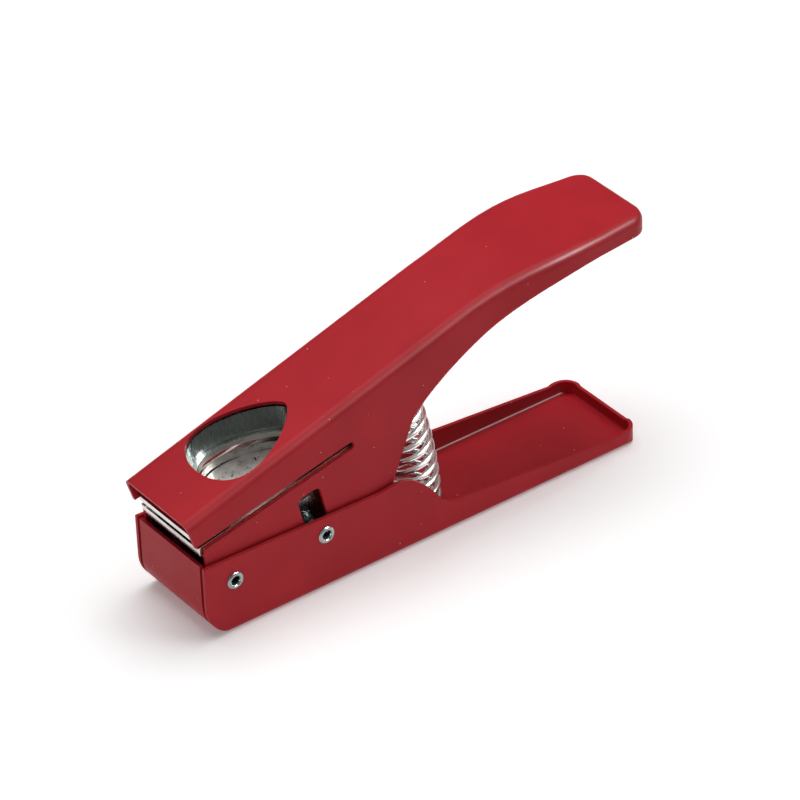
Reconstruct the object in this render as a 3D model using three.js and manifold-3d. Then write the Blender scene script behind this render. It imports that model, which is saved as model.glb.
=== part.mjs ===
// A hand-lever plectrum punch: a stamped sheet base with a rear tray, a channel-shaped lever that
// pivots on a tubular rivet, a die set in the lever and a punch that a second rivet in the base holds
// back. Pressing the lever carries a card, held in the lever's side slot, down over the punch.
// Millimetres, +Z up, +X from the die end to the handle end, origin under the middle of the whole.

import * as THREE from 'three';
import { mergeVertices } from 'three/addons/utils/BufferGeometryUtils.js';
import Module from 'manifold-3d';

const wasm = await Module();
wasm.setup();

// ---------- driving sizes ----------

const sheet = 1.2; // thickness of the base, lever and bracket sheet
const clearance = 0.3; // gap left between pieces that touch or slide
const faceGap = 0.1; // gap between flat faces that are clamped together

const baseLength = 165;
const baseWidth = 36.2; // over the side walls
const wallFront = 26.8; // side wall height at the front
const wallRear = 25.1; // and where the straight top edge ends
const humpRise = 0.8; // the wall's small rise before it drops to the tray
const humpBack = 72; // distance of the hump behind the front wall
const trayDrop = 17.5; // length over which the wall drops to the tray rim
const rimFront = 10.1; // tray rim height at its front end
const rimRear = 5.0; // and at its rear end
const earRise = 0.5; // how far the rim stands up at the rear corners
const earLength = 6.5;
const earRamp = 2; // length of the step up to it
const frontBend = 12; // outer radius between the floor and the front wall
const floorBend = 2.2; // outer radius along the other floor edges
const cornerRadius = 5.5; // rear corners in plan
const seam = 1.1; // open seam between the front wall and each side wall

const leverLength = 175; // along the base, in the open pose
const leverReach = 4; // how far the lever's front edge is ahead of the base
const leverHeight = 82; // highest point of the handle, in the open pose
const leverFrontHeight = 43.2; // height of the top's front edge
const sideGap = 0.5; // between each lever wall and base wall
const leverBend = 3; // outer radius along the lever's top edges
const gripWidth = 38; // widest point of the handle
const gripLength = 72; // length over which the handle swells
const gripBack = 31; // distance of the widest point ahead of the handle's end
const gripDepth = 6.6; // depth of the handle's edge at the grip
const flattenLength = 50; // length over which the top levels out
const flattenBack = 73; // where that starts, ahead of the handle's end
const gripEdgeBack = 21; // where the side wall's edge becomes parallel to the top
const endRadius = 6.5; // rear corners in plan
const endEdgeRadius = 3; // top edge of the rear end
const skirtBottomBack = 55.9; // lower rear corner of the lever wall, behind the pivot
const skirtBottomDrop = 3.1; // and below it
const skirtTopBack = 68.3; // upper rear corner of the lever wall, behind the pivot
const skirtDepth = 22.8; // and below the top

const pivotBack = 10.7; // pivot rivet, behind the base's front
const pivotHeight = 18.3;
const stopBack = 44.2; // stop rivet that carries the punch
const stopHeight = 19.5;
const rivetShank = 1.8; // radii of both tubular rivets
const rivetBore = 1.4;
const rivetHead = 2.9;
const headProud = 0.6;

const openTilt = 12.5; // degrees between the die plates and the base in the open pose
const cardGap = 1.7; // gap between the two die plates
const slotHeight = 2.6; // height of the card slot in the lever's walls
const cardHeight = 17.06; // card plane above the pivot, square to the plates
const cardDepth = 51.2; // end of the side slot behind the pivot
const upperPlate = 2.0;
const lowerPlate = 3.2;
const plateFront = 7; // plates' front edge, ahead of the pivot
const plateRear = 58;
const pickLength = 31.4; // plectrum-shaped hole in both plates
const pickLand = 2.4; // plate left beside the hole on each side
const pickBack = 24.05; // its centre, behind the pivot
const windowRim = 1.4; // how much wider the window is on each side
const collarWall = 0.8;
const collarDrop = 0.8; // collar's top edge below the lever sheet
const punchRecess = 2.8; // punch face below the lower plate's face in the open pose
const punchHeight = 7.8;
const stopWindowWidth = 8.4; // window in each lever wall for the stop rivet
const stopWindowCorner = 1.9;
const stopWindowTop = 10.7; // its top edge above the pivot, square to the plates

const wire = 1.9; // return spring
const coilRadius = 9.05; // to the middle of the wire
const coilCount = 14;
const springBack = 88.4; // its foot, behind the base's front
const seatBack = 66.3; // spring seat in the lever, behind the pivot
const seatDrop = 9; // and below the top

// ---------- sizes that follow ----------

const leverWidth = baseWidth - 2 * (sheet + sideGap);
const innerHalf = leverWidth / 2 - sheet - clearance; // half width of what fits inside the lever
const overallLength = Math.max(leverLength, leverReach + baseLength);
const frontX = leverReach - overallLength / 2; // the base's front face
const frontEdge = -(pivotBack + leverReach); // the lever's front edge, from the pivot
const endEdge = frontEdge + leverLength; // its rear end
const frontTop = leverFrontHeight - pivotHeight;
const crest = leverHeight - pivotHeight;
const flattenStart = endEdge - flattenBack;
const topSlope = (crest - frontTop) / (flattenStart - frontEdge + flattenLength / 2);
const topAngle = Math.atan(topSlope);
const tilt = THREE.MathUtils.degToRad(openTilt);
const stopRun = stopBack - pivotBack;
const stopRise = stopHeight - pivotHeight;
const pickWidth = 2 * (innerHalf - pickLand);
const windowLength = pickLength + 2 * windowRim;
const windowWidth = pickWidth + 2 * windowRim;
const gripOver = Math.max(gripWidth, leverWidth); // the grip never narrows the lever

// A point given behind and above the pivot becomes one along and square to the die plates.
const onPlates = (x, z) => [
  x * Math.cos(tilt) + z * Math.sin(tilt),
  z * Math.cos(tilt) - x * Math.sin(tilt),
];
const offPlates = (along, up) => [
  along * Math.cos(tilt) - up * Math.sin(tilt),
  along * Math.sin(tilt) + up * Math.cos(tilt),
];

// ---------- materials ----------

const finish = (color, roughness, metalness) =>
  new THREE.MeshStandardMaterial({ color, roughness, metalness });
const redCoat = () => finish(0xa3262b, 0.42, 0);
const zincPlate = () => finish(0xb9bdbc, 0.32, 1);
const brightNickel = () => finish(0xcfd2d2, 0.22, 1);
const groundSteel = () => finish(0x9a9894, 0.5, 1);

// ---------- shaping helpers ----------

function solidOf(geometry) {
  const plain = geometry.clone();
  for (const name of ['normal', 'uv']) plain.deleteAttribute(name);
  const merged = mergeVertices(plain, 1e-4);
  return new wasm.Manifold(
    new wasm.Mesh({
      numProp: 3,
      vertProperties: new Float32Array(merged.attributes.position.array),
      triVerts: new Uint32Array(merged.index.array),
    }),
  );
}

function geometryOf(solid) {
  const mesh = solid.getMesh();
  const geometry = new THREE.BufferGeometry();
  geometry.setAttribute('position', new THREE.BufferAttribute(mesh.vertProperties, 3));
  geometry.setIndex(new THREE.BufferAttribute(mesh.triVerts, 1));
  return geometry;
}

function extruded(outline, depth, curveSegments) {
  return new THREE.ExtrudeGeometry(outline, { depth, bevelEnabled: false, curveSegments });
}

// An outline drawn in X and Z, swept across Y.
function acrossY(outline, low, high, curveSegments = 10) {
  return extruded(outline, high - low, curveSegments).rotateX(Math.PI / 2).translate(0, high, 0);
}

// An outline drawn in X and Y, swept up Z.
function upZ(outline, low, high, curveSegments = 10) {
  return extruded(outline, high - low, curveSegments).translate(0, 0, low);
}

// An outline drawn in Y and Z, swept along X.
function alongX(outline, low, high, curveSegments = 6) {
  const turn = new THREE.Matrix4().makeBasis(
    new THREE.Vector3(0, 1, 0),
    new THREE.Vector3(0, 0, 1),
    new THREE.Vector3(1, 0, 0),
  );
  return extruded(outline, high - low, curveSegments).applyMatrix4(turn).translate(low, 0, 0);
}

const box = (x0, x1, y0, y1, z0, z1) =>
  new THREE.BoxGeometry(x1 - x0, y1 - y0, z1 - z0).translate(
    (x0 + x1) / 2,
    (y0 + y1) / 2,
    (z0 + z1) / 2,
  );

// A round bar across Y, at a point in X and Z.
const crossBar = (radius, x, z, halfLength) =>
  new THREE.CylinderGeometry(radius, radius, 2 * halfLength, 24).translate(x, 0, z);

function polygon(points) {
  return new THREE.Shape(points.map(([x, y]) => new THREE.Vector2(x, y)));
}

function cut(body, ...tools) {
  return tools.reduce((left, tool) => left.subtract(solidOf(tool)), body);
}

function joined(first, ...others) {
  return others.reduce((sum, other) => sum.add(solidOf(other)), solidOf(first));
}

// A turned piece: radius and height pairs, revolved about Z. The profile closes on itself or
// starts and ends on the axis.
function turned(profile, segments = 24) {
  const points = profile.map(([radius, height]) => new THREE.Vector2(radius, height));
  return new THREE.LatheGeometry(points, segments).rotateX(Math.PI / 2);
}

function tube(inner, outer, low, high) {
  return turned([[inner, low], [outer, low], [outer, high], [inner, high], [inner, low]]);
}

// Turns a piece made about Z so that it lies across Y.
const layAcross = (geometry) => geometry.rotateX(Math.PI / 2);

// A plectrum outline with its blunt end forward and its tip towards the handle.
function plectrum(length, width, centre) {
  const half = width / 2;
  const blunt = centre - length / 2;
  const tip = centre + length / 2;
  const widest = blunt + 0.33 * length;
  const outline = new THREE.Shape();
  outline.moveTo(blunt, 0);
  outline.bezierCurveTo(blunt, -0.62 * half, widest - 0.2 * length, -half, widest, -half);
  outline.bezierCurveTo(widest + 0.3 * length, -half, tip, -0.3 * half, tip, 0);
  outline.bezierCurveTo(tip, 0.3 * half, widest + 0.3 * length, half, widest, half);
  outline.bezierCurveTo(widest - 0.2 * length, half, blunt, 0.62 * half, blunt, 0);
  return outline;
}

// ---------- base ----------

// The stamped trough as a solid block, or with an inset the space inside its walls.
function trough(inset, top) {
  const front = inset;
  const rear = baseLength - inset;
  const half = baseWidth / 2 - inset;
  const frontRound = frontBend - inset;
  const round = floorBend - inset;

  const side = new THREE.Shape();
  side.moveTo(front + frontRound, inset);
  side.lineTo(rear - round, inset);
  side.absarc(rear - round, inset + round, round, -Math.PI / 2, 0);
  side.lineTo(rear, top);
  side.lineTo(front, top);
  side.lineTo(front, inset + frontRound);
  side.absarc(front + frontRound, inset + frontRound, frontRound, Math.PI, 1.5 * Math.PI);

  const section = new THREE.Shape();
  section.moveTo(-half + round, inset);
  section.lineTo(half - round, inset);
  section.absarc(half - round, inset + round, round, -Math.PI / 2, 0);
  section.lineTo(half, top);
  section.lineTo(-half, top);
  section.lineTo(-half, inset + round);
  section.absarc(-half + round, inset + round, round, Math.PI, 1.5 * Math.PI);

  const corner = cornerRadius - inset;
  const plan = new THREE.Shape();
  plan.moveTo(front, -half);
  plan.lineTo(rear - corner, -half);
  plan.absarc(rear - corner, -half + corner, corner, -Math.PI / 2, 0);
  plan.lineTo(rear, half - corner);
  plan.absarc(rear - corner, half - corner, corner, 0, Math.PI / 2);
  plan.lineTo(front, half);

  return solidOf(acrossY(side, -half, half, 8))
    .intersect(solidOf(alongX(section, front, rear, 4)))
    .intersect(solidOf(upZ(plan, inset, top, 8)));
}

// Everything below the wall's top edge: straight, hump, drop to the tray, then the falling rim.
function wallOutline() {
  const past = 1; // beyond the sheet, so that the cut is clean
  const humpTop = wallRear + humpRise;
  const rimStart = humpBack + trayDrop;
  const rimEnd = baseLength - earLength - earRamp;
  const outline = new THREE.Shape();
  outline.moveTo(-past, -past);
  outline.lineTo(baseLength + past, -past);
  outline.lineTo(baseLength + past, rimRear + earRise);
  outline.lineTo(baseLength - earLength, rimRear + earRise);
  outline.bezierCurveTo(
    rimEnd + earRamp / 2, rimRear + earRise,
    rimEnd + earRamp / 2, rimRear,
    rimEnd, rimRear,
  );
  outline.lineTo(rimStart + 4, rimFront);
  outline.quadraticCurveTo(rimStart, rimFront + 0.1, rimStart - 1.5, rimFront + 2.2);
  outline.bezierCurveTo(
    rimStart - 5.5, rimFront + 8,
    humpBack + 6.5, humpTop,
    humpBack, humpTop,
  );
  outline.quadraticCurveTo(humpBack - 3, humpTop, humpBack - 7, wallRear);
  outline.lineTo(-past, wallFront);
  return outline;
}

function baseFrame() {
  const tall = wallFront + 5;
  const half = baseWidth / 2;
  const shell = trough(0, tall).subtract(trough(sheet, tall + 5));
  const walls = shell.intersect(solidOf(acrossY(wallOutline(), -half - 1, half + 1, 8)));

  // the rear wall is lower between its two raised corners
  const dip = half - earLength;
  const dipOutline = polygon([
    [-dip, rimRear],
    [dip, rimRear],
    [dip + 2 * earRamp, rimRear + earRamp],
    [-dip - 2 * earRamp, rimRear + earRamp],
  ]);
  const seams = [-1, 1].map((side) => {
    const middle = side * (half - sheet - seam / 2);
    return box(-1, frontBend, middle - seam / 2, middle + seam / 2, -1, tall);
  });
  const hole = rivetShank + clearance;
  const body = cut(
    walls,
    alongX(dipOutline, baseLength - sheet - 1, baseLength + 1),
    ...seams,
    crossBar(hole, pivotBack, pivotHeight, half + 1),
    crossBar(hole, stopBack, stopHeight, half + 1),
  );

  // a dimple pressed up from below keeps the spring's foot in place
  const dimpleRadius = coilRadius - wire / 2 - 1.2;
  const dimpleRise = 2.2;
  const cone = (grow, low, high) =>
    turned([
      [0, low],
      [dimpleRadius + grow, low],
      [dimpleRadius + grow - dimpleRise * 0.6, high],
      [0, high],
    ]).translate(springBack, 0, 0);
  return body
    .add(solidOf(cone(0, 0.4, sheet + dimpleRise)))
    .subtract(solidOf(cone(-sheet, -0.5, dimpleRise)));
}

// ---------- rivets ----------

// A tubular rivet across both walls, its two ends rolled over.
function tubularRivet() {
  const under = baseWidth / 2 + faceGap;
  const top = under + headProud;
  const roll = 0.3;
  const half = [
    [rivetHead, under],
    [rivetHead, top - roll],
    [rivetHead - roll, top],
    [rivetBore + roll, top],
    [rivetBore, top - roll],
  ];
  const mirrored = half.map(([radius, height]) => [radius, -height]).reverse();
  return layAcross(
    turned([
      [rivetBore, -(top - roll)],
      ...mirrored.slice(1),
      [rivetShank, -under],
      [rivetShank, under],
      ...half,
      [rivetBore, -(top - roll)],
    ]),
  );
}

// ---------- lever ----------

// Height of the lever's top above the pivot: a straight slope that levels out into the handle.
function topHeight(x) {
  const past = THREE.MathUtils.clamp(x - flattenStart, 0, flattenLength);
  const straight = Math.min(x, flattenStart) - frontEdge;
  return frontTop + topSlope * (straight + past - (past * past) / (2 * flattenLength));
}

function topSlopeAt(x) {
  const past = THREE.MathUtils.clamp((x - flattenStart) / flattenLength, 0, 1);
  return topSlope * (1 - past);
}

// Half width over the lever's walls: parallel along the base, swelling at the grip.
function leverHalf(x) {
  const centre = endEdge - gripBack;
  const along = THREE.MathUtils.clamp((x - centre) / (gripLength / 2), -1, 1);
  return leverWidth / 2 + ((gripOver - leverWidth) / 4) * (1 + Math.cos(Math.PI * along));
}

// One cross-section of the filled lever: a block with two rounded top edges.
function leverSection(x, half, top, bottom, bend) {
  const points = [[half, bottom]];
  const steps = 6;
  for (const side of [1, -1]) {
    for (let i = 0; i <= steps; i += 1) {
      const turn = ((side > 0 ? i : steps - i) / steps) * (Math.PI / 2);
      points.push([side * (half - bend + bend * Math.cos(turn)), top - bend + bend * Math.sin(turn)]);
    }
  }
  points.push([-half, bottom]);
  return points.map(([y, z]) => [x, y, z]);
}

// The lever as a solid block, or with an inset the space inside its sheet.
function leverBlock(inset) {
  const past = 3; // beyond the front edge, which the outline cuts
  const start = frontEdge - past - inset;
  const end = endEdge - inset;
  const corner = endRadius - inset;
  const edge = Math.max(endEdgeRadius - inset, 0.5);
  const bottom = -pivotHeight - inset; // below the skirt, so that the block is open there
  const stations = [start, flattenStart];
  const curveSteps = 30;
  for (let i = 1; i < curveSteps; i += 1) {
    stations.push(flattenStart + ((end - corner - flattenStart) * i) / curveSteps);
  }
  const endSteps = 7;
  for (let i = 0; i <= endSteps; i += 1) {
    stations.push(end - corner + corner * Math.sin((i / endSteps) * (Math.PI / 2)));
  }
  const sections = stations.map((x) => {
    const into = THREE.MathUtils.clamp((x - (end - corner)) / corner, 0, 1);
    const over = THREE.MathUtils.clamp((x - (end - edge)) / edge, 0, 1);
    const half = leverHalf(x) - inset - corner * (1 - Math.sqrt(1 - into * into));
    const lower = inset * Math.hypot(1, topSlopeAt(x)) + edge * (1 - Math.sqrt(1 - over * over));
    return leverSection(x, half, topHeight(x) - lower, bottom, leverBend - inset);
  });
  return solidOf(lofted(sections));
}

// A closed skin over sections that have the same number of points, going round the same way.
function lofted(sections) {
  const count = sections[0].length;
  const indices = [];
  for (let s = 0; s + 1 < sections.length; s += 1) {
    for (let i = 0; i < count; i += 1) {
      const a = s * count + i;
      const b = s * count + ((i + 1) % count);
      indices.push(a, a + count, b, b, a + count, b + count);
    }
  }
  const last = (sections.length - 1) * count;
  for (let i = 1; i + 1 < count; i += 1) {
    indices.push(0, i, i + 1);
    indices.push(last, last + i + 1, last + i);
  }
  const geometry = new THREE.BufferGeometry();
  geometry.setAttribute('position', new THREE.Float32BufferAttribute(sections.flat(2), 3));
  geometry.setIndex(indices.reverse());
  return geometry;
}

// The lever's side view: the front edge square to the top, the tongue below the card slot, the
// skirt inside the base, and the curved edge up to the grip.
function leverOutline() {
  const [alongFront, upFront] = onPlates(frontEdge, frontTop);
  const lean = topAngle - tilt;
  const slotAlong = alongFront + (upFront - cardHeight) * Math.tan(lean);
  const slotFront = offPlates(slotAlong, cardHeight);
  const tongueRadius = pivotBack - sheet - 0.8; // swings clear of the front wall
  const tongueTop = offPlates(
    (cardHeight * Math.sin(tilt) - tongueRadius) / Math.cos(tilt),
    cardHeight,
  );
  const above = 5;
  const skirtTop = topHeight(skirtTopBack) - skirtDepth;
  const gripStart = endEdge - gripEdgeBack;
  const gripEdge = topHeight(gripStart) - gripDepth;

  const outline = new THREE.Shape();
  outline.moveTo(frontEdge - above * Math.sin(topAngle), frontTop + above * Math.cos(topAngle));
  outline.lineTo(...slotFront);
  outline.lineTo(...tongueTop);
  outline.lineTo(-tongueRadius, 0);
  outline.absarc(0, 0, tongueRadius, Math.PI, 1.55 * Math.PI);
  outline.lineTo(skirtBottomBack, -skirtBottomDrop);
  outline.lineTo(skirtTopBack - 1, skirtTop - 2.5);
  outline.quadraticCurveTo(skirtTopBack, skirtTop, skirtTopBack + 2, skirtTop + 2);
  outline.bezierCurveTo(
    skirtTopBack + 17, skirtTop + 16,
    gripStart - 25, gripEdge - 1,
    gripStart, gripEdge,
  );
  outline.lineTo(endEdge + above, gripEdge);
  outline.lineTo(endEdge + above, crest + above);
  outline.lineTo(frontEdge - above * Math.sin(topAngle), crest + above);
  return outline;
}

const dieTurn = new THREE.Matrix4().makeRotationY(-tilt);

function leverShell() {
  const halfCut = gripOver / 2 + 1;
  const shell = leverBlock(0)
    .subtract(leverBlock(sheet))
    .intersect(solidOf(acrossY(leverOutline(), -halfCut, halfCut, 14)));

  // the card slot is open at the front and rounded at its rear end
  const slot = new THREE.Shape();
  const slotRadius = slotHeight / 2;
  slot.moveTo(frontEdge - 10, cardHeight - slotRadius);
  slot.lineTo(cardDepth - slotRadius, cardHeight - slotRadius);
  slot.absarc(cardDepth - slotRadius, cardHeight, slotRadius, -Math.PI / 2, Math.PI / 2);
  slot.lineTo(frontEdge - 10, cardHeight + slotRadius);

  const [stopAlong, stopUp] = onPlates(stopRun, stopRise);
  const windowBottom = stopUp - rivetShank - 0.4;
  const windowFront = stopAlong - stopWindowWidth / 2 - 1;
  const stopWindow = roundedRectangle(
    windowFront,
    windowFront + stopWindowWidth,
    windowBottom,
    stopWindowTop,
    stopWindowCorner,
  );
  const pickWindow = upZ(plectrum(windowLength, windowWidth, pickBack), cardHeight, crest + 20, 14);
  const tools = [
    acrossY(slot, -halfCut, halfCut, 6),
    acrossY(stopWindow, -halfCut, halfCut, 3),
    pickWindow,
  ].map((tool) => tool.applyMatrix4(dieTurn));
  return cut(shell, ...tools, crossBar(rivetShank + clearance, 0, 0, halfCut));
}

function roundedRectangle(x0, x1, y0, y1, radius) {
  const outline = new THREE.Shape();
  outline.moveTo(x0 + radius, y0);
  outline.lineTo(x1 - radius, y0);
  outline.absarc(x1 - radius, y0 + radius, radius, -Math.PI / 2, 0);
  outline.lineTo(x1, y1 - radius);
  outline.absarc(x1 - radius, y1 - radius, radius, 0, Math.PI / 2);
  outline.lineTo(x0 + radius, y1);
  outline.absarc(x0 + radius, y1 - radius, radius, Math.PI / 2, Math.PI);
  outline.lineTo(x0, y0 + radius);
  outline.absarc(x0 + radius, y0 + radius, radius, Math.PI, 1.5 * Math.PI);
  return outline;
}

// ---------- die set, drawn along and square to the plates, from the pivot ----------

const slotFloor = cardHeight - cardGap / 2;
const slotRoof = cardHeight + cardGap / 2;
const spacerFront = cardDepth + 0.8;
const dieRivetBack = (spacerFront + plateRear) / 2;
const dieRivetOut = innerHalf - 6;
const dieRivetShank = 1.2;
const dieRivetHead = 2.2;
const dieHeadHeight = 0.9;

// A round bar up Z, which cuts a hole for a shank of the given radius.
const holeFor = (shank, x, y, low, high) =>
  new THREE.CylinderGeometry(shank + clearance, shank + clearance, high - low, 16)
    .rotateX(Math.PI / 2)
    .translate(x, y, (low + high) / 2);

const dieRivetHoles = (low, high) =>
  [-1, 1].map((side) => holeFor(dieRivetShank, dieRivetBack, side * dieRivetOut, low - 1, high + 1));

function diePlate(low, high) {
  const blank = solidOf(box(-plateFront, plateRear, -innerHalf, innerHalf, low, high));
  const pick = upZ(plectrum(pickLength, pickWidth, pickBack), low - 1, high + 1, 14);
  return cut(blank, pick, ...dieRivetHoles(low, high));
}

// The upper plate has two ears turned up at its rear, where it is welded to the lever's walls.
function upperDiePlate() {
  const low = slotRoof + faceGap / 2;
  const high = low + upperPlate;
  const earHeight = 5;
  return [-1, 1].reduce((plate, side) => {
    const outer = side * innerHalf;
    const inner = side * (innerHalf - sheet);
    const ear = box(
      plateRear - 13, plateRear,
      Math.min(outer, inner), Math.max(outer, inner),
      high - 0.5, high + earHeight,
    );
    return plate.add(solidOf(ear));
  }, diePlate(low, high));
}

function lowerDiePlate() {
  const high = slotFloor - faceGap / 2;
  return diePlate(high - lowerPlate, high);
}

// A wall round the plectrum hole, from the upper plate to just under the lever's sheet.
function windowCollar() {
  const low = slotRoof + faceGap / 2 + upperPlate + faceGap;
  const grown = (grow) =>
    upZ(plectrum(windowLength + 2 * grow, windowWidth + 2 * grow, pickBack), low, crest, 14);
  const ring = solidOf(grown(collarWall)).subtract(
    solidOf(
      upZ(plectrum(windowLength, windowWidth, pickBack), low - 1, crest + 1, 14),
    ),
  );
  // cut off parallel to the lever's top
  const under = (sheet + collarDrop) / Math.cos(topAngle);
  const corner = (x, lift) => onPlates(x, frontTop + topSlope * (x - frontEdge) - under + lift);
  const reach = plateRear + 20;
  const above = polygon([
    corner(frontEdge - 20, 0),
    corner(reach, 0),
    corner(reach, 2 * crest),
    corner(frontEdge - 20, 2 * crest),
  ]);
  return cut(ring, acrossY(above, -gripOver, gripOver));
}

function dieSpacer() {
  const low = slotFloor + faceGap / 2;
  const high = slotRoof - faceGap / 2;
  const strip = solidOf(box(spacerFront, plateRear, -innerHalf, innerHalf, low, high));
  return cut(strip, ...dieRivetHoles(low, high));
}

function dieRivet() {
  const low = slotFloor - faceGap / 2 - lowerPlate - faceGap;
  const high = slotRoof + faceGap / 2 + upperPlate + faceGap;
  return turned(
    [
      [0, low - dieHeadHeight],
      [dieRivetHead * 0.7, low - dieHeadHeight],
      [dieRivetHead, low - dieHeadHeight * 0.4],
      [dieRivetHead, low],
      [dieRivetShank, low],
      [dieRivetShank, high],
      [dieRivetHead, high],
      [dieRivetHead, high + dieHeadHeight * 0.4],
      [dieRivetHead * 0.7, high + dieHeadHeight],
      [0, high + dieHeadHeight],
    ],
    16,
  );
}

// A folded bracket under the front of the lower plate, which hangs the die set on the pivot rivet.
function pivotBracket() {
  const top = slotFloor - faceGap / 2 - lowerPlate - faceGap;
  const front = plateFront - 1;
  const eyeWall = 2.4; // sheet left round the pivot rivet
  const eye = rivetShank + clearance + eyeWall;
  const rear = Math.max(pickBack - pickLength / 2 - 2, eye);
  const side = new THREE.Shape();
  side.moveTo(-front, top);
  side.lineTo(-front, top - sheet - 2);
  side.lineTo(-eye, 0);
  side.absarc(0, 0, eye, Math.PI, 2 * Math.PI);
  side.lineTo(rear, top - sheet - 2);
  side.lineTo(rear, top);
  const inner = innerHalf - sheet;
  return cut(
    solidOf(acrossY(side, -innerHalf, innerHalf)),
    box(-front - 1, rear + 1, -inner, inner, -eye - 1, top - sheet),
    crossBar(rivetShank + clearance, 0, 0, innerHalf + 1),
  );
}

// ---------- punch, in the same frame as the die set ----------

const punchTop = slotFloor - faceGap / 2 - punchRecess;
const punchBottom = punchTop - punchHeight;
const carrierTop = punchBottom - clearance;
const carrierWeb = 2;
const carrierHalf = innerHalf - 3.3; // room for a spacer on each side
const carrierFront = pickBack - 11.5;
const screwPlaces = [pickBack - 6.5, pickBack + 5.5];
const screwShank = 1.1;
const screwHead = 2.2;
const screwLength = 5.5; // into the punch

const screwHoles = (low, high) =>
  screwPlaces.map((place) => holeFor(screwShank, place, 0, low, high));

function punchBlock() {
  const length = pickLength - 2 * clearance;
  const width = pickWidth - 2 * clearance;
  const block = solidOf(upZ(plectrum(length, width, pickBack), punchBottom, punchTop, 14));
  return cut(block, ...screwHoles(punchBottom - 1, punchBottom + screwLength + 0.4));
}

// A folded carrier: a flat web under the punch and two legs that the stop rivet passes through. The
// rivet's holes are long enough for the small arc that it follows between them.
function punchCarrier() {
  const [alongOpen, upOpen] = onPlates(stopRun, stopRise);
  const shift = stopRun - alongOpen; // how far the rivet moves along the legs as the lever closes
  const legHalf = 5;
  const legMiddle = alongOpen + shift / 2;
  const rear = Math.max(pickBack + pickLength / 2, legMiddle + legHalf);
  const side = new THREE.Shape();
  side.moveTo(carrierFront, carrierTop);
  side.lineTo(carrierFront, carrierTop - carrierWeb);
  side.lineTo(legMiddle - legHalf, carrierTop - carrierWeb);
  side.lineTo(legMiddle - legHalf, upOpen);
  side.absarc(legMiddle, upOpen, legHalf, Math.PI, 2 * Math.PI);
  side.lineTo(legMiddle + legHalf, carrierTop - carrierWeb);
  side.lineTo(rear, carrierTop - carrierWeb);
  side.lineTo(rear, carrierTop);

  const eye = rivetShank + clearance;
  const longHole = roundedRectangle(
    alongOpen - eye, alongOpen + shift + eye, upOpen - eye, upOpen + eye, eye - 0.05,
  );
  const inner = carrierHalf - sheet;
  return cut(
    solidOf(acrossY(side, -carrierHalf, carrierHalf)),
    box(carrierFront - 1, rear + 1, -inner, inner, upOpen - legHalf - 1, carrierTop - carrierWeb),
    acrossY(longHole, -carrierHalf - 1, carrierHalf + 1, 6),
    ...screwHoles(carrierTop - carrierWeb - 1, carrierTop + 1),
  );
}

function punchScrew() {
  const head = carrierTop - carrierWeb - faceGap;
  const headHeight = 1.4;
  return turned(
    [
      [0, head - headHeight],
      [screwHead * 0.75, head - headHeight],
      [screwHead, head - headHeight * 0.5],
      [screwHead, head],
      [screwShank, head],
      [screwShank, punchBottom + screwLength],
      [0, punchBottom + screwLength],
    ],
    16,
  );
}

// ---------- spring and its seat ----------

const seatTop = topHeight(seatBack) - seatDrop;

// A bracket across the lever, parallel to its top: a web with a round boss for the spring's head,
// and two ears that are welded to the walls. It is drawn flat, from the middle of the web.
function springSeat() {
  const halfLength = coilRadius + wire / 2 + 1;
  const earHeight = 5;
  const boss = coilRadius - wire / 2 - 1.2;
  const web = box(-halfLength, halfLength, -innerHalf, innerHalf, 0, sheet);
  const ears = [-1, 1].map((side) => {
    const outer = side * innerHalf;
    const inner = side * (innerHalf - sheet);
    return box(
      -halfLength + 2, halfLength - 4,
      Math.min(outer, inner), Math.max(outer, inner),
      sheet / 2, earHeight,
    );
  });
  const bossRise = 1.6;
  return joined(
    web,
    ...ears,
    turned([[0, -bossRise], [boss - 1, -bossRise], [boss, 0.2], [0, 0.2]]),
  );
}

// The line through the middle of the coils: upright at the foot, square to the seat at the head.
function springAxis() {
  const off = wire / 2 + clearance;
  const foot = new THREE.Vector3(springBack, 0, sheet + off);
  const square = new THREE.Vector3(Math.sin(topAngle), 0, -Math.cos(topAngle));
  const head = new THREE.Vector3(pivotBack + seatBack, 0, pivotHeight + seatTop);
  head.addScaledVector(square, off);
  const bend = head.clone().addScaledVector(square, (springBack - head.x) / square.x);
  return new THREE.QuadraticBezierCurve3(foot, bend, head);
}

class CoilCurve extends THREE.Curve {
  constructor(axis) {
    super();
    this.axis = axis;
    this.arcLengthDivisions = coilCount * 60;
  }

  getPoint(part, target = new THREE.Vector3()) {
    // the first and last turns lie close together, as on a spring with closed ends
    const endPart = 1 / coilCount;
    const endRise = (1.15 * wire) / this.axis.getLength();
    let along = part;
    if (part < endPart) along = (part / endPart) * endRise;
    else if (part > 1 - endPart) along = 1 - ((1 - part) / endPart) * endRise;
    else along = endRise + ((part - endPart) / (1 - 2 * endPart)) * (1 - 2 * endRise);
    const centre = this.axis.getPointAt(along);
    const forward = this.axis.getTangentAt(along);
    const outward = new THREE.Vector3(forward.z, 0, -forward.x);
    const turn = part * coilCount * 2 * Math.PI;
    return target
      .copy(centre)
      .addScaledVector(outward, coilRadius * Math.cos(turn))
      .add(new THREE.Vector3(0, coilRadius * Math.sin(turn), 0));
  }
}

function returnSpring() {
  const wireSides = 6;
  const section = polygon(
    Array.from({ length: wireSides }, (_, i) => {
      const turn = (i / wireSides) * 2 * Math.PI;
      return [(wire / 2) * Math.cos(turn), (wire / 2) * Math.sin(turn)];
    }),
  );
  return new THREE.ExtrudeGeometry(section, {
    steps: coilCount * 12,
    bevelEnabled: false,
    extrudePath: new CoilCurve(springAxis()),
  });
}

// ---------- the assembly ----------

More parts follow.
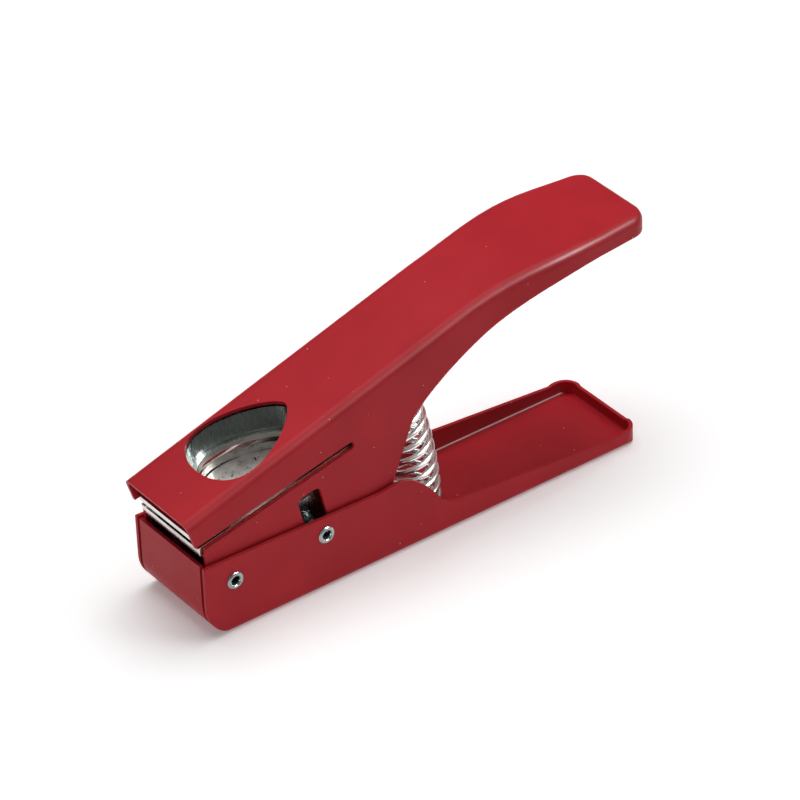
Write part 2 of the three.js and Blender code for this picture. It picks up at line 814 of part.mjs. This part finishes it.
function piece(name, shape, material) {
  const geometry = shape.isBufferGeometry ? shape : geometryOf(shape);
  const mesh = new THREE.Mesh(geometry, material);
  mesh.name = name;
  return mesh;
}

const punchTool = new THREE.Group();
punchTool.rotation.y = -tilt;
punchTool.add(piece('punch_block', punchBlock(), groundSteel()));
punchTool.add(piece('punch_carrier', punchCarrier(), zincPlate()));
['punch_screw_front', 'punch_screw_rear'].forEach((name, i) => {
  const screw = piece(name, punchScrew(), zincPlate());
  screw.position.x = screwPlaces[i];
  punchTool.add(screw);
});

const dieSet = new THREE.Group();
dieSet.rotation.y = -tilt;
dieSet.add(piece('upper_die_plate', upperDiePlate(), brightNickel()));
dieSet.add(piece('lower_die_plate', lowerDiePlate(), brightNickel()));
dieSet.add(piece('window_collar', windowCollar(), zincPlate()));
dieSet.add(piece('die_spacer', dieSpacer(), zincPlate()));
dieSet.add(piece('pivot_bracket', pivotBracket(), zincPlate()));
[['die_rivet_near', -1], ['die_rivet_far', 1]].forEach(([name, side]) => {
  const rivet = piece(name, dieRivet(), zincPlate());
  rivet.position.set(dieRivetBack, side * dieRivetOut, 0);
  dieSet.add(rivet);
});

const seat = piece('spring_seat', springSeat(), zincPlate());
seat.position.set(seatBack, 0, seatTop);
seat.rotation.y = -topAngle;

const lever = new THREE.Group();
lever.position.set(pivotBack, 0, pivotHeight);
lever.add(piece('lever_shell', leverShell(), redCoat()));
lever.add(dieSet, punchTool, seat);

const pivotRivet = piece('pivot_rivet', tubularRivet(), zincPlate());
pivotRivet.position.set(pivotBack, 0, pivotHeight);
const stopRivet = piece('stop_rivet', tubularRivet(), zincPlate());
stopRivet.position.set(stopBack, 0, stopHeight);

// a sleeve keeps the pivot rivet from squeezing the bracket, and two spacers centre the punch
const sleeveWall = 0.9;
const sleeveBore = rivetShank + clearance;
const sleeveHalf = innerHalf - sheet - clearance;
const pivotSleeve = piece(
  'pivot_sleeve',
  layAcross(tube(sleeveBore, sleeveBore + sleeveWall, -sleeveHalf, sleeveHalf)),
  zincPlate(),
);
pivotSleeve.position.copy(pivotRivet.position);
const punchSpacers = [['punch_spacer_near', -1], ['punch_spacer_far', 1]].map(([name, side]) => {
  const spacerLength = innerHalf - carrierHalf - clearance;
  const spacer = piece(
    name,
    layAcross(tube(sleeveBore, sleeveBore + sleeveWall, -spacerLength / 2, spacerLength / 2)),
    zincPlate(),
  );
  spacer.position.set(stopBack, side * (carrierHalf + clearance + spacerLength / 2), stopHeight);
  return spacer;
});

const base = new THREE.Group();
base.add(piece('base_frame', baseFrame(), redCoat()));
base.add(pivotRivet, stopRivet, pivotSleeve, ...punchSpacers);
base.add(piece('return_spring', returnSpring(), brightNickel()));

const plectrumPunch = new THREE.Group();
plectrumPunch.position.x = frontX;
plectrumPunch.add(base, lever);

export default plectrumPunch;
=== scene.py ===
import math

import bpy
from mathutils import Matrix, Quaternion, Vector


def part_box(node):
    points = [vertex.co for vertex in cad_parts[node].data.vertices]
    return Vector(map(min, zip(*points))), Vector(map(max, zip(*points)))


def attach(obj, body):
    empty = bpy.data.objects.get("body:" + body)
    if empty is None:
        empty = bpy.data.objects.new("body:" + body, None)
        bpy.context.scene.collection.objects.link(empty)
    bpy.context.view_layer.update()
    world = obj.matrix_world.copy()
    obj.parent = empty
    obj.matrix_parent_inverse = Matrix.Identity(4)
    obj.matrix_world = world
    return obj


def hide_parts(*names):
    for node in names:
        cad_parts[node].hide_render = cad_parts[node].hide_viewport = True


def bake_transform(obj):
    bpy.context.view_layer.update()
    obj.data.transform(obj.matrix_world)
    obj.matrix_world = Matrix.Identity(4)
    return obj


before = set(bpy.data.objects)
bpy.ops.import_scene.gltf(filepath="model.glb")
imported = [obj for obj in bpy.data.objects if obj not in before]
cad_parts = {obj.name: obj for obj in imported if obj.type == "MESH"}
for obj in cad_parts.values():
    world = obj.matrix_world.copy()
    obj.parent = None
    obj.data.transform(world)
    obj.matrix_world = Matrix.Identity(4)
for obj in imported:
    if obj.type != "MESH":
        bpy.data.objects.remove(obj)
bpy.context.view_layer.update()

mm = 0.001
weld = 0.002 * mm  # points closer than this are one


def only(obj):  # an operator acts on all that is selected, so one piece is picked alone
    bpy.ops.object.select_all(action="DESELECT")
    obj.select_set(True)
    bpy.context.view_layer.objects.active = obj


def fromHex(code):  # sRGB hex to linear colour
    parts = [int(code[i:i + 2], 16) / 255 for i in (1, 3, 5)]
    linear = [p / 12.92 if p <= 0.04045 else ((p + 0.055) / 1.055) ** 2.4 for p in parts]
    return (*linear, 1.0)


def addNode(tree, kind, settings={}, links={}, stops=()):
    node = tree.nodes.new("ShaderNode" + kind)
    for key, value in settings.items():
        if isinstance(key, int) or key in node.inputs:
            node.inputs[key].default_value = value
        else:
            setattr(node, key, value)
    for key, output in links.items():
        tree.links.new(output, node.inputs[key])
    for i, (place, colour) in enumerate(stops):
        ramp = node.color_ramp.elements
        stop = ramp[i] if i < 2 else ramp.new(place)
        stop.position = place
        stop.color = fromHex(colour)
    return node


def newMaterial(name):
    material = bpy.data.materials.new(name)
    material.use_nodes = True
    material.node_tree.nodes.clear()
    return material, material.node_tree


def perMm(size):  # a pattern's scale from its size in millimetres
    return 1 / (size * mm)


# Satin powder coat, sprayed dry and baked on sheet steel. It gives an even, slightly soft red with
# a fine orange peel, broad faint changes of tone and a few pale dust nibs caught in the film.
coat = {
    "low": "#a41a24", "high": "#b01f29", "nib": "#e8b7b0",
    "toneMm": 26, "sheenMm": 5, "peelMm": 0.9, "nibMm": 4.6, "nibShare": 0.036,
    "rough": (0.36, 0.46), "peelBump": 0.10, "gloss": 0.12,
}


def satinPowderCoat():
    material, tree = newMaterial("satinRedPowderCoat")
    place = addNode(tree, "TexCoord").outputs["Object"]
    tone = addNode(tree, "TexNoise", {"Scale": perMm(coat["toneMm"]), "Detail": 3.0}, {"Vector": place})
    colour = addNode(tree, "ValToRGB", {}, {"Fac": tone.outputs["Fac"]},
                     [(0.35, coat["low"]), (0.68, coat["high"])])
    nibs = addNode(tree, "TexVoronoi", {"Scale": perMm(coat["nibMm"])}, {"Vector": place})
    nib = addNode(tree, "Math", {"operation": "LESS_THAN", 1: coat["nibShare"]},
                  {0: nibs.outputs["Distance"]})
    mixed = addNode(tree, "Mix", {"data_type": "RGBA", 7: fromHex(coat["nib"])},
                    {0: nib.outputs[0], 6: colour.outputs[0]})
    sheen = addNode(tree, "TexNoise", {"Scale": perMm(coat["sheenMm"]), "Detail": 2.0}, {"Vector": place})
    rough = addNode(tree, "MapRange", {"To Min": coat["rough"][0], "To Max": coat["rough"][1]},
                    {"Value": sheen.outputs["Fac"]})
    peel = addNode(tree, "TexNoise", {"Scale": perMm(coat["peelMm"]), "Detail": 1.5}, {"Vector": place})
    bump = addNode(tree, "Bump", {"Strength": coat["peelBump"], "Distance": 0.1 * mm},
                   {"Height": peel.outputs["Fac"]})
    shader = addNode(tree, "BsdfPrincipled",
                     {"Metallic": 0.0, "IOR": 1.5, "Specular IOR Level": coat["gloss"]},
                     {"Base Color": mixed.outputs[2], "Roughness": rough.outputs[0],
                      "Normal": bump.outputs[0]})
    addNode(tree, "OutputMaterial", {}, {"Surface": shader.outputs[0]})
    return material


# The metals share one build: two tones of the metal in soft blotches, fine lines drawn along one
# direction, and dark specks where the surface is stained or pitted.
def metalSurface(name, look):
    material, tree = newMaterial(name)
    place = addNode(tree, "TexCoord").outputs["Object"]
    blotch = addNode(tree, "TexNoise", {"Scale": perMm(look["blotchMm"]), "Detail": 4.0},
                     {"Vector": place})
    colour = addNode(tree, "ValToRGB", {}, {"Fac": blotch.outputs["Fac"]},
                     [(0.36, look["low"]), (0.66, look["high"])]).outputs[0]
    stretched = addNode(tree, "Mapping", {"Scale": look["lineStretch"]}, {"Vector": place})
    lines = addNode(tree, "TexNoise", {"Scale": perMm(look["lineMm"]), "Detail": 2.0},
                    {"Vector": stretched.outputs[0]})
    rough = addNode(tree, "MapRange", {"From Min": 0.3, "From Max": 0.7,
                                       "To Min": look["rough"][0], "To Max": look["rough"][1]},
                    {"Value": lines.outputs["Fac"]})
    height = lines.outputs["Fac"]
    if look.get("speckMm"):
        grains = addNode(tree, "TexNoise", {"Scale": perMm(look["speckMm"]), "Detail": 3.0},
                         {"Vector": place})
        patch = addNode(tree, "TexNoise", {"Scale": perMm(look["patchMm"]), "Detail": 1.0},
                        {"Vector": place})
        both = addNode(tree, "Math", {"operation": "MULTIPLY"},
                       {0: grains.outputs["Fac"], 1: patch.outputs["Fac"]})
        speck = addNode(tree, "MapRange", {"From Min": look["speckFrom"], "From Max": look["speckTo"]},
                        {"Value": both.outputs[0]})
        colour = addNode(tree, "Mix", {"data_type": "RGBA", 7: fromHex(look["speck"])},
                         {0: speck.outputs[0], 6: colour}).outputs[2]
    bump = addNode(tree, "Bump", {"Strength": look["bump"], "Distance": 0.05 * mm}, {"Height": height})
    shader = addNode(tree, "BsdfPrincipled", {"Metallic": 1.0},
                     {"Base Color": colour, "Roughness": rough.outputs[0], "Normal": bump.outputs[0]})
    addNode(tree, "OutputMaterial", {}, {"Surface": shader.outputs[0]})
    return material


# Bright zinc, electroplated and passivated: cool grey, a faint green cast, softly blurred reflections.
zincLook = {"low": "#818a88", "high": "#a0a8a6", "blotchMm": 9, "lineMm": 0.5, "lineStretch": (1, 1, 0.12),
            "rough": (0.2, 0.3), "bump": 0.03}
# Zinc plate on the window's wall: the same cast, darker and more even, as painted shade and a painted dark
# reflection for the deep window it lines.
windowWallPaintedShadeLook = {**zincLook, "low": "#707977", "high": "#848d8b", "blotchMm": 22, "lineMm": 1.2,
              "rough": (0.24, 0.3), "bump": 0.0}
# Bright nickel over polished sheet: near-white, clear reflections, faint rolling lines along the strip.
nickelLook = {"low": "#c9c8c4", "high": "#e4e2de", "blotchMm": 7, "lineMm": 0.4, "lineStretch": (0.08, 1, 1),
              "rough": (0.08, 0.18), "bump": 0.05}
# Ground tool steel: pale grey, crossed by grinding lines, with dark stains and pits in patches.
groundLook = {"low": "#a09d9a", "high": "#c9c5c1", "blotchMm": 5, "lineMm": 0.35, "lineStretch": (0.1, 1, 1),
              "rough": (0.42, 0.6), "bump": 0.25, "speckMm": 0.6, "patchMm": 4.2,
              "speckFrom": 0.32, "speckTo": 0.38, "speck": "#3f3c39"}
# Nickel-plated music wire, drawn through a die: very bright, with hair lines along the wire.
wireLook = {"low": "#e6e0de", "high": "#f7f3f1", "blotchMm": 3, "lineMm": 0.5, "lineStretch": (1, 1, 1),
            "rough": (0.16, 0.24), "bump": 0.0}

redCoat = satinPowderCoat()
zincPlate = metalSurface("brightZincPlate", zincLook)
# the window wall's zinc, darkened with painted shade and a painted dark reflection
windowWallPaintedShadePlate = metalSurface("zincPlateWithPaintedShade", windowWallPaintedShadeLook)
nickelPlate = metalSurface("brightNickelPlate", nickelLook)
groundSteel = metalSurface("groundToolSteel", groundLook)
springWire = metalSurface("platedMusicWire", wireLook)
print("materials ready")


def wear(obj, material):
    obj.data.materials.clear()
    obj.data.materials.append(material)


# A pressed or cut piece keeps its size: its flat faces are cleaned up and its sharp edges broken.
def brokenEdges(nodeName, pieceName, edge):
    piece = bpy.data.objects.new(pieceName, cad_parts[nodeName].data.copy())
    bpy.context.scene.collection.objects.link(piece)
    only(piece)
    bpy.ops.mesh.customdata_custom_splitnormals_clear()
    bpy.ops.object.mode_set(mode="EDIT")
    bpy.ops.mesh.select_all(action="SELECT")
    bpy.ops.mesh.remove_doubles(threshold=edge["weld"] * mm)
    bpy.ops.mesh.dissolve_limited(angle_limit=math.radians(edge["flat"]))
    bpy.ops.object.mode_set(mode="OBJECT")
    bevel = piece.modifiers.new("edgeBreak", "BEVEL")
    bevel.width = edge["width"] * mm
    bevel.segments = edge["segments"]
    bevel.limit_method = "ANGLE"
    bevel.angle_limit = math.radians(edge["sharp"])
    bpy.ops.object.modifier_apply(modifier="edgeBreak")
    bpy.ops.object.shade_smooth_by_angle(angle=math.radians(edge["smooth"]))
    # wide faces stay flat up to their broken edges
    flats = piece.modifiers.new("flatFaces", "WEIGHTED_NORMAL")
    flats.keep_sharp = True
    bpy.ops.object.modifier_apply(modifier="flatFaces")
    return piece


brokenEdge = {"segments": 2, "sharp": 40, "flat": 0.3, "smooth": 38, "weld": 0.004}
stampedEdge = {**brokenEdge, "width": 0.22}
plateEdge = {**brokenEdge, "width": 0.16}
dieEdge = {**brokenEdge, "width": 0.12}

pressed = [
    # node, new name, body, material, slot, edge
    ("base_frame", "stampedBase", "base", redCoat, "red_powder_coat", stampedEdge),
    ("lever_shell", "drawnLever", "lever", redCoat, "red_powder_coat", stampedEdge),
    ("upper_die_plate", "upperPlate", "lever", nickelPlate, "bright_nickel", plateEdge),
    ("lower_die_plate", "lowerPlate", "lever", nickelPlate, "bright_nickel", dieEdge),
    # the window wall wears the zinc darkened with painted shade
    ("window_collar", "windowWall", "lever", windowWallPaintedShadePlate, "zinc_plate", plateEdge),
    ("die_spacer", "plateSpacer", "lever", zincPlate, "zinc_plate", dieEdge),
    ("pivot_bracket", "hangerBracket", "lever", zincPlate, "zinc_plate", plateEdge),
    ("spring_seat", "springBridge", "lever", zincPlate, "zinc_plate", plateEdge),
    ("punch_block", "groundPunch", "punch", groundSteel, "ground_steel", dieEdge),
    ("punch_carrier", "punchYoke", "punch", zincPlate, "zinc_plate", plateEdge),
]
for nodeName, pieceName, body, material, slotName, edge in pressed:
    piece = brokenEdges(nodeName, pieceName, edge)
    wear(piece, material)
    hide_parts(nodeName)
    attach(piece, body)
    print("pressed", pieceName, len(piece.data.polygons), "faces")


# A turned piece: a circle extruded ring by ring through pairs of radius and height.
def turnedPiece(name, profile, sides):
    radius, height = profile[0]
    bpy.ops.object.select_all(action="DESELECT")
    bpy.ops.mesh.primitive_circle_add(vertices=sides, radius=radius * mm, location=(0, 0, height * mm))
    piece = bpy.context.object
    piece.name = name
    only(piece)
    bpy.ops.object.transform_apply(location=True, rotation=True, scale=True)
    bpy.ops.object.mode_set(mode="EDIT")
    bpy.ops.mesh.select_all(action="SELECT")
    for nextRadius, nextHeight in profile[1:]:
        bpy.ops.mesh.extrude_edges_move(TRANSFORM_OT_translate={"value": (0, 0, (nextHeight - height) * mm)})
        grow = nextRadius / radius
        bpy.ops.transform.resize(value=(grow, grow, 1), center_override=(0, 0, nextHeight * mm))
        radius, height = nextRadius, nextHeight
    bpy.ops.mesh.select_all(action="SELECT")
    bpy.ops.mesh.remove_doubles(threshold=weld)
    bpy.ops.mesh.normals_make_consistent(inside=False)
    bpy.ops.object.mode_set(mode="OBJECT")
    return piece


def settled(piece, turn, place):  # its place goes into its mesh
    piece.rotation_euler = turn
    piece.location = place
    only(piece)
    bpy.ops.object.transform_apply(location=True, rotation=True, scale=True)
    return piece


# Tubular rivets: a drawn tube whose two ends are rolled outwards over the walls.
rivet = {
    "sides": 48, "bore": 1.4, "shank": 1.8, "head": 2.9, "under": 18.2, "top": 18.8,
    "lip": [  # out from the bore, down from the top
        (0, 1.1), (0.06, 0.7), (0.16, 0.38), (0.32, 0.15), (0.52, 0.03), (0.72, 0),
        (0.95, 0.05), (1.18, 0.15),
    ],
    "places": {"pivot_rivet": "rolledPivotRivet", "stop_rivet": "rolledStopRivet"},
}
crown = [(rivet["bore"] + out, rivet["top"] - down) for out, down in rivet["lip"]]
crown += [
    (rivet["head"] - 0.1, rivet["top"] - 0.3), (rivet["head"], rivet["top"] - 0.45),
    (rivet["head"] - 0.08, rivet["under"]), (rivet["shank"], rivet["under"]),
]
rivetProfile = crown + [(r, -h) for r, h in reversed(crown)] + [crown[0]]
for nodeName, pieceName in rivet["places"].items():
    low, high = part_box(nodeName)
    middle = (low + high) / 2
    piece = settled(turnedPiece(pieceName, rivetProfile, rivet["sides"]), (math.pi / 2, 0, 0), middle)
    only(piece)
    bpy.ops.object.shade_smooth_by_angle(angle=math.radians(40))
    wear(piece, zincPlate)
    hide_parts(nodeName)
    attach(piece, "base")
    print("rivet", pieceName)


# Return spring: round wire wound on a line that leaves the base upright and meets its seat square.
spring = {
    "foot": (4.9, 0, 2.45), "bend": (4.9, 0, 21.64), "head": (-6.135, 0, 57.751),
    "axisSteps": 400, "wire": 1.9, "coilRadius": 9.05, "coils": 14, "closedRise": 1.15, "pointsPerCoil": 40,
}


def axisPoint(t):
    foot, bend, head = (Vector(spring[k]) for k in ("foot", "bend", "head"))
    place = foot * (1 - t) ** 2 + bend * 2 * t * (1 - t) + head * t * t
    forward = ((bend - foot) * (1 - t) + (head - bend) * t).normalized()
    return place, forward


def windSpring():
    steps = spring["axisSteps"]
    lengths = [0.0]
    for i in range(steps):
        lengths.append(lengths[-1] + (axisPoint((i + 1) / steps)[0] - axisPoint(i / steps)[0]).length)
    total = lengths[-1]

    def alongAxis(share):  # even steps of length along the bent line
        wanted = share * total
        i = next((n for n in range(steps) if lengths[n + 1] >= wanted), steps - 1)
        part = (wanted - lengths[i]) / (lengths[i + 1] - lengths[i])
        return axisPoint((i + part) / steps)

    coils = spring["coils"]
    endPart = 1 / coils
    endRise = spring["closedRise"] * spring["wire"] / total
    count = coils * spring["pointsPerCoil"]
    points = []
    for n in range(count + 1):
        part = n / count
        if part < endPart:
            share = part / endPart * endRise
        elif part > 1 - endPart:
            share = 1 - (1 - part) / endPart * endRise
        else:
            share = endRise + (part - endPart) / (1 - 2 * endPart) * (1 - 2 * endRise)
        centre, forward = alongAxis(min(max(share, 0), 1))
        outward = Vector((forward.z, 0, -forward.x))
        turn = part * coils * 2 * math.pi
        points.append(centre + outward * spring["coilRadius"] * math.cos(turn)
                      + Vector((0, spring["coilRadius"] * math.sin(turn), 0)))
    return points


line = bpy.data.curves.new("returnCoil", "CURVE")
line.dimensions = "3D"
line.bevel_depth = spring["wire"] / 2 * mm
line.bevel_resolution = 4
line.use_fill_caps = True
strand = line.splines.new("POLY")
coilPoints = windSpring()
strand.points.add(len(coilPoints) - 1)
for point, place in zip(strand.points, coilPoints):
    point.co = (*(place * mm), 1)
coil = bpy.data.objects.new("returnCoil", line)
bpy.context.scene.collection.objects.link(coil)
only(coil)
bpy.ops.object.convert(target="MESH")
coil = bpy.context.object
bpy.ops.object.mode_set(mode="EDIT")
bpy.ops.mesh.select_all(action="SELECT")
bpy.ops.mesh.remove_doubles(threshold=weld)
bpy.ops.mesh.normals_make_consistent(inside=False)
bpy.ops.object.mode_set(mode="OBJECT")
bpy.ops.object.shade_smooth_by_angle(angle=math.radians(50))
wear(coil, springWire)
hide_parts("return_spring")
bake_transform(coil)
print("spring wound")

# The small pieces inside stay as they are and get their plate.
for nodeName in ("pivot_sleeve", "punch_spacer_near", "punch_spacer_far", "die_rivet_near", "die_rivet_far",
                 "punch_screw_front", "punch_screw_rear"):
    wear(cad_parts[nodeName], zincPlate)
print("inner pieces plated")

# Floor, sky and lamps: a plain pale floor, an even sky with one darker band, and soft boxes.
studio = {
    "floor": "#f4f4f4", "floorGlow": 0.16, "skyStrength": 0.32,
    "sky": [(0.0, "#9a9a9a"), (0.5, "#bdbdbd"), (0.58, "#4a4a4a"), (0.72, "#f2f2f2"), (1.0, "#ffffff")],
    "floorSize": 6, "floorDrop": 0.05, "aimHeight": 0.04,
}
bpy.ops.object.select_all(action="DESELECT")
bpy.ops.mesh.primitive_plane_add(size=studio["floorSize"], location=(0, 0, -studio["floorDrop"] * mm))
floor = bpy.context.object
floor.name = "paleFloor"
floorPaint, tree = newMaterial("mattWhitePaper")
shader = addNode(tree, "BsdfPrincipled", {"Base Color": fromHex(studio["floor"]), "Roughness": 0.9,
                                          "Emission Color": (1, 1, 1, 1),
                                          "Emission Strength": studio["floorGlow"]})
addNode(tree, "OutputMaterial", {}, {"Surface": shader.outputs[0]})
wear(floor, floorPaint)

sky = bpy.data.worlds.new("studioSky")
sky.use_nodes = True
sky.node_tree.nodes.clear()
tree = sky.node_tree
way = addNode(tree, "TexCoord").outputs["Generated"]
split = addNode(tree, "SeparateXYZ", {}, {"Vector": way})
level = addNode(tree, "MapRange", {"From Min": -1.0, "From Max": 1.0}, {"Value": split.outputs["Z"]})
tint = addNode(tree, "ValToRGB", {}, {"Fac": level.outputs[0]}, studio["sky"])
glow = addNode(tree, "Background", {"Strength": studio["skyStrength"]}, {"Color": tint.outputs[0]})
addNode(tree, "OutputWorld", {}, {"Surface": glow.outputs[0]})
bpy.context.scene.world = sky

lamps = {
    # name: way from the object, distance m, size m, watts
    "keyBox": ((0.10, 0.15, 1.0), 0.9, (0.9, 0.7), 7.6),
    "gripBox": ((0.48, -0.57, 0.67), 0.8, (0.22, 0.22), 24),
    "frontBox": ((-0.75, -0.55, 0.35), 1.0, (0.5, 0.4), 0.4),
}
for lampName, (way, distance, size, watts) in lamps.items():
    way = Vector(way).normalized()
    bpy.ops.object.light_add(type="AREA", location=way * distance + Vector((0, 0, studio["aimHeight"])))
    lamp = bpy.context.object
    lamp.name = lampName
    lamp.data.shape = "RECTANGLE"
    lamp.data.size, lamp.data.size_y = size
    lamp.data.energy = watts
    lamp.rotation_euler = way.to_track_quat("Z", "Y").to_euler()
    lamp.visible_diffuse = lampName != "gripBox"  # it adds gloss alone, mostly on the handle's bend
print("studio lit")

# The slight roll shares the misfit of the proportions between the front and the handle.
camera = {"azimuth": -35.48, "elevation": 34.62, "roll": -2.24, "distance": 1.5, "viewWidth": 243.0,
          "target": (2.64, 0, 40.45)}
a, e = math.radians(camera["azimuth"]), math.radians(camera["elevation"])
back = Vector((math.sin(a) * math.cos(e), -math.cos(a) * math.cos(e), math.sin(e)))
bpy.ops.object.camera_add(location=Vector(camera["target"]) * mm + back * camera["distance"])
eye = bpy.context.object
eye.name = "benchCamera"
eye.data.sensor_width = 36
eye.data.lens = eye.data.sensor_width * camera["distance"] / (camera["viewWidth"] * mm)
eye.data.clip_end = 20
look = (-back).to_track_quat("-Z", "Y") @ Quaternion((0, 0, 1), math.radians(camera["roll"]))
eye.rotation_euler = look.to_euler()
bpy.context.scene.camera = eye
bpy.context.scene.view_settings.view_transform = "Standard"  # plain display, so white paper stays white
print("camera placed")
